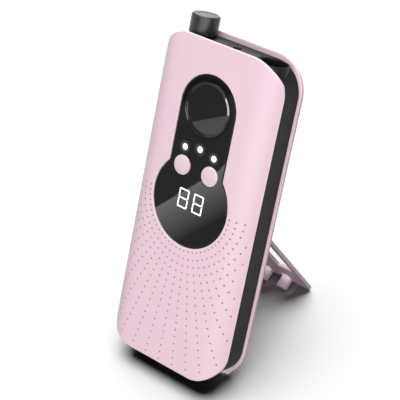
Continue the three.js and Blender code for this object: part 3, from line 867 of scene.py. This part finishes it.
def build_screw(name, place):
    """A countersunk housing screw with a domed head and a cross recess."""
    profile = [(0, -1.6), (0.7, -1.6), (1.0, -1.2), (1.0, 11.8), (1.65, 11.8), (1.8, 11.95)]
    profile += [(1.8, 12.75), (1.68, 13.0), (1.4, 13.2), (0.9, 13.3), (0, 13.3)]
    screw = lathe(name, profile, place, count=48)
    x, z = place
    slots = [
        block("slot", ((x - a, x + a), (12.5, 14), (z - b, z + b)))
        for a, b in ((0.26, 1.15), (1.15, 0.26))
    ]
    return combine(screw, "DIFFERENCE", *slots)


# ---- front panel ----

def build_panel():
    """The smoked keyhole plate with its flange and its openings, each with a small chamfer."""
    panel = slab(
        "panel_plate",
        lambda inset: keyhole(-0.3 - inset, 60),
        PANEL_FRONT,
        PANEL_BACK,
        front_edge=0.25,
    )
    flange = slab(
        "flange",
        lambda inset: keyhole(FLANGE_GROW, 60),
        PANEL_BACK - 0.1,
        PANEL_BACK + 0.8,
    )
    combine(panel, "UNION", flange)
    relief = slab("flange_inside", lambda inset: keyhole(-1.5, 60), PANEL_BACK, PANEL_BACK + 2)
    cuts = [relief]

    def opening(radius, at, chamfer=0.12, depth=-3.0):
        profile = [(0, -7), (radius + chamfer, -7), (radius + chamfer, PANEL_FRONT)]
        profile += [(radius, PANEL_FRONT + chamfer), (radius, depth), (0, depth)]
        return lathe("opening", profile, at, count=128)

    cuts.append(opening(LENS_RADIUS + 0.2, (0, HEAD_Z), 0.12, -5.0))
    cuts.append(rod("lens_light", LENS_RADIUS - 1.2, (0, HEAD_Z), (-7, -3)))
    cuts += [opening(BUTTON_RADIUS + 0.2, (x, BUTTON_Z)) for x in BUTTONS.values()]
    cuts += [opening(LED_RADIUS + 0.1, place, 0.06) for place in LEDS.values()]
    x, z = DISPLAY
    cuts.append(block("display_room", ((x - 8.1, x + 8.1), (-5.3, -3), (z - 6.5, z + 6.5))))
    return combine(panel, "DIFFERENCE", *cuts)


def build_lens():
    """A round disc, dished in the middle, with a smooth flank up to its rim."""
    profile = [(0, -5.25), (LENS_RADIUS, -5.25)]
    profile += [(LENS_RADIUS - i, LENS_FRONT + d) for i, d in quarter_round(0.25, 5)]
    flat_to = LENS_RADIUS - LENS_LAND
    for t in np.linspace(0, 1, 14):
        blend = t * t * (3 - 2 * t)
        profile.append((flat_to - LENS_FLANK * t, LENS_FRONT + LENS_DISH * blend))
    floor = flat_to - LENS_FLANK
    for share in np.linspace(1, 0, 14)[1:]:
        sag = LENS_SAG * (1 - share**2)
        profile.append((floor * share, LENS_FRONT + LENS_DISH + sag))
    return lathe("lens_disc", profile, (0, HEAD_Z), count=192)


def build_led(name, place):
    """A light pipe: a shaft with a collar and a domed tip."""
    back, collar, front = -1.5, -3.4, -6.15
    profile = [(0, back), (LED_RADIUS, back), (LED_RADIUS, collar), (LED_RADIUS + 0.5, collar)]
    profile += [(LED_RADIUS + 0.5, collar - 0.7), (LED_RADIUS, collar - 0.7)]
    for turn in np.linspace(0, math.pi / 2, 8)[:-1]:
        profile.append((LED_RADIUS * math.cos(turn), front + 0.35 * (1 - math.sin(turn))))
    profile.append((0, front))
    return lathe(name, profile, place, count=48)


def segment(middle, length, upright, outside, corners):
    """A display segment, mitred where it meets a corner: its outline in x and z."""
    half, thick, point = length / 2, DIGIT_STROKE / 2, 0.3
    if outside:
        outer, inner = outside * thick, -outside * thick
        low, high = half + thick * corners[0], half + thick * corners[1]
        shape = [(-low, outer), (high, outer), (half - thick, inner), (thick - half, inner)]
    else:
        shape = [(-half, 0), (-half + point, thick), (half - point, thick)]
        shape += [(half, 0), (half - point, -thick), (-half + point, -thick)]
    turned = [(z, x) for x, z in shape] if upright else shape
    return np.array(turned, float) + middle


def build_digits():
    """Two seven-segment figures, lit on the panel's face."""
    side = (DIGIT_WIDTH - DIGIT_STROKE) / 2
    rise = (DIGIT_HEIGHT - DIGIT_STROKE) / 2
    # each bar's middle, length, whether it is upright, its outer side and which ends meet corners
    bars = [((0, z * rise), 2 * side - 2 * DIGIT_GAP, False, z, (1, 1)) for z in (-1, 0, 1)]
    bars += [
        ((x * side, z * rise / 2), rise - 2 * DIGIT_GAP, True, x, (z < 0, z > 0))
        for x in (-1, 1)
        for z in (-1, 1)
    ]
    points, faces = [], []
    for digit in (-1, 1):
        for (x, z), length, upright, outside, corners in bars:
            middle = np.array((DISPLAY[0] + digit * DIGIT_PITCH / 2 + x, DISPLAY[1] + z))
            outline = segment(middle, length, upright, outside, corners)
            start, count = len(points), len(outline)
            points.extend(ring_at(outline, PANEL_FRONT - 0.03))
            points.extend(ring_at(outline, PANEL_FRONT + 0.1))
            faces.append(tuple(start + i for i in range(count)))
            faces.append(tuple(start + count + i for i in range(count)))
            for i in range(count):
                j = (i + 1) % count
                faces.append((start + i, start + j, start + count + j, start + count + i))
    return new_object("digit_segments", points, faces)


def build_button(name, x):
    """A push button: a gently crowned cap with a rounded edge, on a flange."""
    back, flange, front = -3.35, -4.15, -6.6
    profile = [(0, back), (BUTTON_RADIUS + 0.7, back), (BUTTON_RADIUS + 0.7, flange)]
    profile += [(BUTTON_RADIUS, flange)]
    crest = 0.22
    profile += [
        (BUTTON_RADIUS - inset, front + crest + drop) for inset, drop in quarter_round(0.4, 6)
    ]
    edge = BUTTON_RADIUS - 0.4
    for share in np.linspace(1, 0, 10)[1:]:
        profile.append((edge * share, front + crest * share**2))
    return lathe(name, profile, (x, BUTTON_Z), count=96)


# ---- top: knob and holder ----

def build_knob():
    """The speed knob: straight sides, a rounded shoulder and a slightly dished top."""
    bottom, top = KNOB_SPAN
    skirt = 0.25
    profile = [(0, bottom + 6.2), (3.12, bottom + 6.2), (3.12, bottom + 2.9), (5.15, bottom + 2.9)]
    profile += [(5.15, bottom), (KNOB_RADIUS - skirt, bottom)]
    profile += [(KNOB_RADIUS - i, bottom + d) for i, d in quarter_round(skirt, 3)][::-1]
    profile += [(KNOB_RADIUS - i, top - d) for i, d in quarter_round(0.75, 8)]
    land = KNOB_RADIUS - 1.15
    for t in np.linspace(0, 1, 6):
        profile.append((land - 0.5 * t, top - 0.12 * t * t * (3 - 2 * t)))
    profile.append((0, top - 0.12))
    return lathe("knob_cap", profile, KNOB, "z", 128)


def build_sleeve():
    """The handpiece holder: a deep cup with a rounded rim."""
    bottom, top = HOLDER_SPAN
    profile = [(0, bottom), (HOLDER_RADIUS - 0.4, bottom), (HOLDER_RADIUS, bottom + 0.4)]
    profile += [(HOLDER_RADIUS - i, top - d) for i, d in quarter_round(0.3, 6)]
    profile += [(HOLDER_BORE + i, top - d) for i, d in quarter_round(0.3, 6)][::-1]
    profile += [(HOLDER_BORE, bottom + 1.5), (0, bottom + 1.5)]
    return lathe("holder_cup", profile, HOLDER, "z", 128)


# ---- kickstand ----

def build_stand():
    """The folded stand about its hinge axis: a slotted plate, barrel, heel and three prongs."""
    inner, outer = STAND_FACES
    plate = slab(
        "stand_plate",
        lambda inset: round_rect(
            STAND_HALF - inset, inset - STAND_LENGTH, STAND_CORNER - inset, STAND_CORNER - inset, 10
        ),
        inner,
        outer,
        0.3,
        0.3,
    )
    around = cover_form("cover_around")
    around.location = (0, -HINGE_Y, -HINGE_Z)
    bpy.context.view_layer.update()
    combine(plate, "INTERSECT", around)
    barrel_edge = [(outer - i, STAND_HALF - d) for i, d in quarter_round(0.25, 3)]
    barrel = [(0, -STAND_HALF)] + [(r, -x) for r, x in barrel_edge[::-1]]
    barrel += barrel_edge + [(0, STAND_HALF)]
    combine(plate, "UNION", lathe("barrel", barrel, (0, 0), "x", 48))
    slots = []
    for side in (-1, 1):
        def opening(inset, middle=SLOT_X * side):
            low, high = SLOT_SPAN[0] + inset, SLOT_SPAN[1] - inset
            return round_rect(SLOT_HALF - inset, low, high, 1.2 - inset, 8) + (middle, 0)

        slots.append(rings_to_object("slot", [
            ring_at(opening(grow), y) for grow, y in (
                (-0.25, -3), (-0.25, inner), (0, inner + 0.25),
                (0, outer - 0.25), (-0.25, outer), (-0.25, 3),
            )
        ]))
    combine(plate, "DIFFERENCE", *slots)
    heel = block("heel", ((-3.6, 3.6), (-0.7, 0.7), (0, 2.6)))
    heel.rotation_euler = (math.pi / 2 - STAND_OPEN, 0, 0)
    bpy.context.view_layer.update()
    combine(plate, "UNION", heel)
    far, near = PRONG_SPAN
    for x in PRONGS:
        span = (x - PRONG_HALF, x + PRONG_HALF)
        combine(plate, "UNION", block("prong", (span, (PRONG_TIP, inner + 0.5), (far, near))))
        combine(plate, "DIFFERENCE", block("window", (span, (-3, 3), (near, near + WINDOW_HEIGHT))))
    combine(plate, "DIFFERENCE", rod("pin_hole", PIN_BORE, (0, 0), (-24, 24), "x", 32))
    return soften(plate, 0.18)


# ---- pieces ----

shell = combine(build_shell(), "DIFFERENCE", dot_cutter())
add_piece(shell, [], "casing", ["front_shell"])
band = add_piece(build_band(), [BLACK], "casing", ["mid_frame"])
add_piece(build_cover(), [PINK], "casing", ["back_cover"])
for number, place in enumerate(SCREWS, 1):
    screw = build_screw(f"housing_screw_{number}", place)
    add_piece(screw, [STEEL], "casing", [f"cover_screw_{number}"])
panel = add_piece(build_panel(), [PANEL], "casing", ["display_panel"])
lens = add_piece(build_lens(), [PANEL], "casing", ["round_lens"], sharp=50)
for node, place in LEDS.items():
    pipe = build_led(node.replace("led", "light_pipe"), place)
    add_piece(pipe, [LIT], "casing", [node])
add_piece(build_digits(), [DIGIT_LIT], "casing")
for node, x in BUTTONS.items():
    cap = build_button(node.replace("button", "button_cap"), x)
    add_piece(cap, [BUTTON_PINK], node, [node])
knob = add_piece(
    build_knob(), [KNOB_BLACK], "speed_knob", ["speed_knob"], sharp=50
)
cup = add_piece(build_sleeve(), [BLACK], "casing", ["holder_sleeve"], sharp=50)
stand = build_stand()
stand.name = "stand_plate"
# the stand takes the darker pink, which paints shade over it
add_piece(
    stand, [SHADED_STAND_PINK], "kickstand", ["kickstand"], sharp=20, placing=turn_stand
)

CARRIED = {
    "digit_display": PANEL,
    "button_switch_left": BLACK,
    "button_switch_right": BLACK,
    "control_board": BOARD,
    "charge_board": BOARD,
    "usb_c_port": STEEL,
    "battery": FOIL,
    "battery_lead": LEAD,
    "charge_lead": LEAD,
    "speed_pot": BLACK,
    "pot_nut": STEEL,
    "pot_shaft": STEEL,
    "handpiece_jack": BLACK,
    "stand_hinge_pin": STEEL,
}
for node, material in CARRIED.items():
    carried = nodes[node]
    carried.data.materials.clear()
    carried.data.materials.append(material)
    edges = carried.modifiers.new("edges", "BEVEL")
    edges.width = 0.12 * MM
    edges.segments = 2
    edges.limit_method = "ANGLE"
    edges.angle_limit = SOFTENED_FROM


# ---- stage: floor, lights and camera ----

AZIMUTH = math.radians(46.909)
ELEVATION = math.radians(40.377)
ROLL = math.radians(-9.711)
DISTANCE = 0.5933
TARGET = Vector((-0.0009, -0.00012, 0.06936))
LENS = 129.6


def make_camera():
    """The camera at the photo's place, turned about its line of sight as the photo is."""
    data = bpy.data.cameras.new("camera")
    data.lens = LENS
    data.sensor_width = 36.0
    data.clip_start = 0.01
    data.clip_end = 50.0
    camera = bpy.data.objects.new("camera", data)
    bpy.context.scene.collection.objects.link(camera)
    level = math.cos(ELEVATION)
    towards = Vector(
        (math.sin(AZIMUTH) * level, -math.cos(AZIMUTH) * level, math.sin(ELEVATION))
    )
    camera.location = TARGET + towards * DISTANCE
    camera.rotation_mode = "QUATERNION"
    camera.rotation_quaternion = (-towards).to_track_quat("-Z", "Y") @ Matrix.Rotation(
        ROLL, 3, "Z"
    ).to_quaternion()
    bpy.context.scene.camera = camera
    return camera


def make_floor():
    """A wide pale sheet that takes only the direct light, so it shows soft shadows."""
    points = [(-6, -6, 0), (6, -6, 0), (6, 6, 0), (-6, 6, 0)]
    mesh = bpy.data.meshes.new("floor")
    mesh.from_pydata(points, [], [(0, 1, 2, 3)])
    floor = bpy.data.objects.new("floor", mesh)
    bpy.context.scene.collection.objects.link(floor)
    paper = bpy.data.materials.new("pale_paper")
    paper.use_nodes = True
    shader = paper.node_tree.nodes["Principled BSDF"]
    shader.inputs["Base Color"].default_value = (0.45, 0.45, 0.45, 1)
    shader.inputs["Roughness"].default_value = 0.9
    shader.inputs["Specular IOR Level"].default_value = 0.0
    mesh.materials.append(paper)
    floor.visible_diffuse = False
    floor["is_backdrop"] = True
    return floor


def area_light(name, position, aim, size, power, lit):
    """A softbox that lights only the objects of one collection."""
    data = bpy.data.lights.new(name, "AREA")
    data.shape = "RECTANGLE"
    data.size, data.size_y = size
    data.energy = power
    lamp = bpy.data.objects.new(name, data)
    bpy.context.scene.collection.objects.link(lamp)
    lamp.location = position
    direction = Vector(aim) - Vector(position)
    lamp.rotation_mode = "QUATERNION"
    lamp.rotation_quaternion = direction.to_track_quat("-Z", "Y")
    lamp.light_linking.receiver_collection = lit
    return lamp


def sky_light(name, towards, angle, strength, lit):
    """A far, wide lamp in a direction, which lights one collection evenly."""
    data = bpy.data.lights.new(name, "SUN")
    data.angle = angle
    data.energy = strength
    lamp = bpy.data.objects.new(name, data)
    bpy.context.scene.collection.objects.link(lamp)
    lamp.rotation_mode = "QUATERNION"
    lamp.rotation_quaternion = (-Vector(towards)).to_track_quat("-Z", "Y")
    lamp.light_linking.receiver_collection = lit
    return lamp


def group(name, objects):
    made = bpy.data.collections.new(name)
    for item in objects:
        made.objects.link(item)
    return made


def reflection_card(name, corners, strengths, seen_in):
    """A panel seen only in the gloss of some pieces, with the glow at its first and last edge."""
    mesh = bpy.data.meshes.new(name)
    mesh.from_pydata([tuple(c) for c in corners], [], [(0, 1, 2, 3)])
    layer = mesh.uv_layers.new(name="fade")
    for loop, (u, v) in zip(layer.data, ((0, 0), (1, 0), (1, 1), (0, 1))):
        loop.uv = (u, v)
    card = bpy.data.objects.new(name, mesh)
    bpy.context.scene.collection.objects.link(card)
    card.visible_camera = False
    card.visible_diffuse = False
    card.visible_shadow = False
    card.visible_transmission = False
    glow = bpy.data.materials.new(name)
    glow.use_nodes = True
    tree = glow.node_tree
    tree.nodes.clear()
    place = tree.nodes.new("ShaderNodeUVMap")
    place.uv_map = "fade"
    split = tree.nodes.new("ShaderNodeSeparateXYZ")
    fade = tree.nodes.new("ShaderNodeMapRange")
    fade.inputs["To Min"].default_value, fade.inputs["To Max"].default_value = strengths
    light = tree.nodes.new("ShaderNodeEmission")
    out = tree.nodes.new("ShaderNodeOutputMaterial")
    tree.links.new(place.outputs["UV"], split.inputs["Vector"])
    tree.links.new(split.outputs["Y"], fade.inputs["Value"])
    tree.links.new(fade.outputs["Result"], light.inputs["Strength"])
    tree.links.new(light.outputs["Emission"], out.inputs["Surface"])
    mesh.materials.append(glow)
    card.light_linking.receiver_collection = group(f"{name}_seen_in", seen_in)
    card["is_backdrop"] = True
    return card


def mirrored(point, normal, distance):
    """Where the camera's line of sight goes after meeting a glossy face at a housing point."""
    at = Vector(to_row([point])[0])
    facing = Vector(np.asarray(normal, float) @ np.stack((ACROSS, BACK, UP))).normalized()
    sight = (at - camera.location).normalized()
    return at + sight.reflect(facing) * distance


camera = make_camera()
floor = make_floor()

world = bpy.data.worlds.new("studio")
bpy.context.scene.world = world
world.use_nodes = True
background = world.node_tree.nodes["Background"]
background.inputs["Color"].default_value = (1.0, 1.0, 1.0, 1)
background.inputs["Strength"].default_value = 0.4
world.cycles_visibility.diffuse = False

pieces_lit = group("pieces_lit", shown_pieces())
floor_lit = group("floor_lit", [floor])

sky_light("floor_key", (-0.14, 0.30, 1.0), math.radians(62), 8.2, floor_lit)
area_light("front_box", (0.3, -0.95, 0.72), (0.0, 0.0, 0.07), (0.8, 0.8), 8.1, pieces_lit)
area_light("left_fill", (-0.95, -0.5, 0.5), (0.0, 0.0, 0.07), (0.7, 0.7), 1.5, pieces_lit)
area_light("side_box", (0.78, -0.6, 0.4), (0.0, 0.0, 0.07), (0.7, 0.7), 5.6, pieces_lit)
area_light("top_box", (-0.1, 0.4, 1.0), (0.0, 0.0, 0.08), (0.8, 0.8), 15.0, pieces_lit)

FACING = (0, -1, 0)
# where the glare lies on the panel, in x and z: the ends of its sharp edge, then of its faded one
GLARE_TOP = ((-22.6, 58.7), (20.2, 99.7))
GLARE_BOTTOM = ((32.6, 86.7), (-10.2, 45.7))
reflection_card(
    "panel_glare",
    [mirrored((x, PANEL_FRONT, z), FACING, 0.3) for x, z in GLARE_TOP + GLARE_BOTTOM],
    (4.4, 0.3),
    [panel],
)


def dish_normal(x, z):
    """Which way the lens's dished floor faces."""
    fall = 2 * LENS_SAG / (LENS_RADIUS - LENS_LAND - LENS_FLANK) ** 2
    return (-fall * x, -1, -fall * (z - HEAD_Z))


def flank_normal(degrees, slope):
    """Which way the lens's flank faces at a bearing, where it slopes by that much."""
    turn = math.radians(degrees)
    return (-slope * math.cos(turn), -1, -slope * math.sin(turn))


DISH_GLARE = ((-9.5, 104.2), (13.7, 115.8), (16.0, 98.0), (-8.0, 96.0))  # its corners in x and z
DISH_Y = -5.6
reflection_card(
    "lens_glare",
    [mirrored((x, DISH_Y, z), dish_normal(x, z), 0.4) for x, z in DISH_GLARE],
    (2.2, 2.6),
    [lens],
)
CRESCENT = ((10, 0.08), (10, 0.36), (40, 0.36), (40, 0.08))  # bearings and slopes it covers
CRESCENT_AT = (9.3, -6.05, 117.4)
reflection_card(
    "lens_crescent",
    [mirrored(CRESCENT_AT, flank_normal(*corner), 0.25) for corner in CRESCENT],
    (20.0, 20.0),
    [lens],
)


TOP_POINT = (-14.0, 4.0, BAND_TOP)
TOP_CARD = 0.16  # side of the square card that the upward faces reflect
top_at = Vector(to_row([TOP_POINT])[0])
top_centre = mirrored(TOP_POINT, (0, 0, 1), 0.2)
ahead = (top_at - top_centre).normalized()
side = ahead.cross(Vector((0, 0, 1))).normalized() * TOP_CARD / 2
rise = side.cross(ahead).normalized() * TOP_CARD / 2
reflection_card(
    "top_shine",
    (
        top_centre - side - rise,
        top_centre - side + rise,
        top_centre + side + rise,
        top_centre + side - rise,
    ),
    (1.6, 1.6),
    [band, knob, cup],
)


scene = bpy.context.scene
scene.view_settings.view_transform = "Standard"
scene.view_settings.look = "None"
